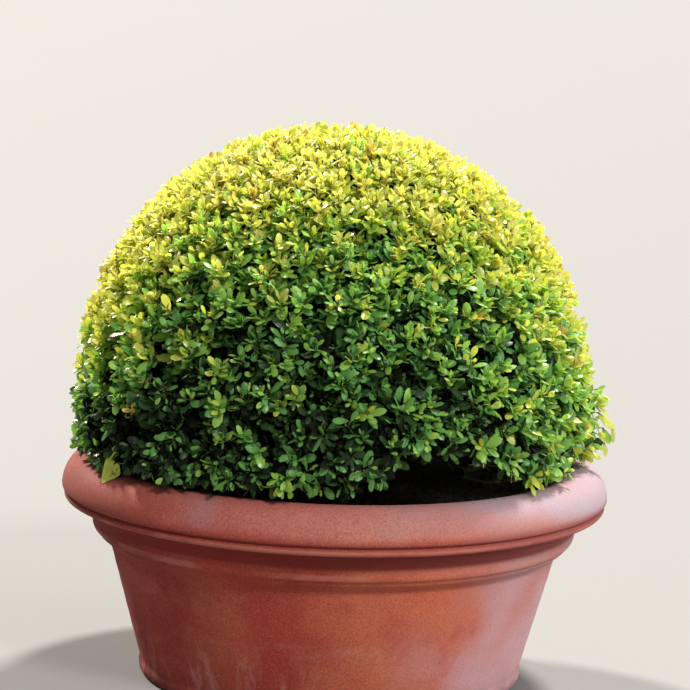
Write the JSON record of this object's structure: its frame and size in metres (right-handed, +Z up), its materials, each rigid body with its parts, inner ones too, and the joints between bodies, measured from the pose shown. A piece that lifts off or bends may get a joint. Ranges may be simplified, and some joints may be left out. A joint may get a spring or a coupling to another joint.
{
  "type": "potted clipped box dome",
  "caption": "Evergreen box shrub clipped to a dome, growing in a wide, shallow terracotta pot with a rolled rim; decorates a patio.",
  "frame": {"origin": "on the ground, under the middle of the pot's flat underside", "axes": "+Z up along the pot's axis; -Y is the front, which faces the viewer; +X is to the viewer's right"},
  "size_m": [0.6472, 0.64, 0.6523],
  "materials": {
    "terracotta": "matte",
    "soil": "matte",
    "bark": "matte",
    "foliage": "satin"
  },
  "bodies": {
    "root": {"pot": "terracotta", "soil": "soil", "trunk": "bark", "bough_1": "bark", "bough_2": "bark", "bough_3": "bark", "bough_4": "bark", "bough_5": "bark", "bough_6": "bark", "foliage_dome": "foliage"}
  },
  "joints": []
}
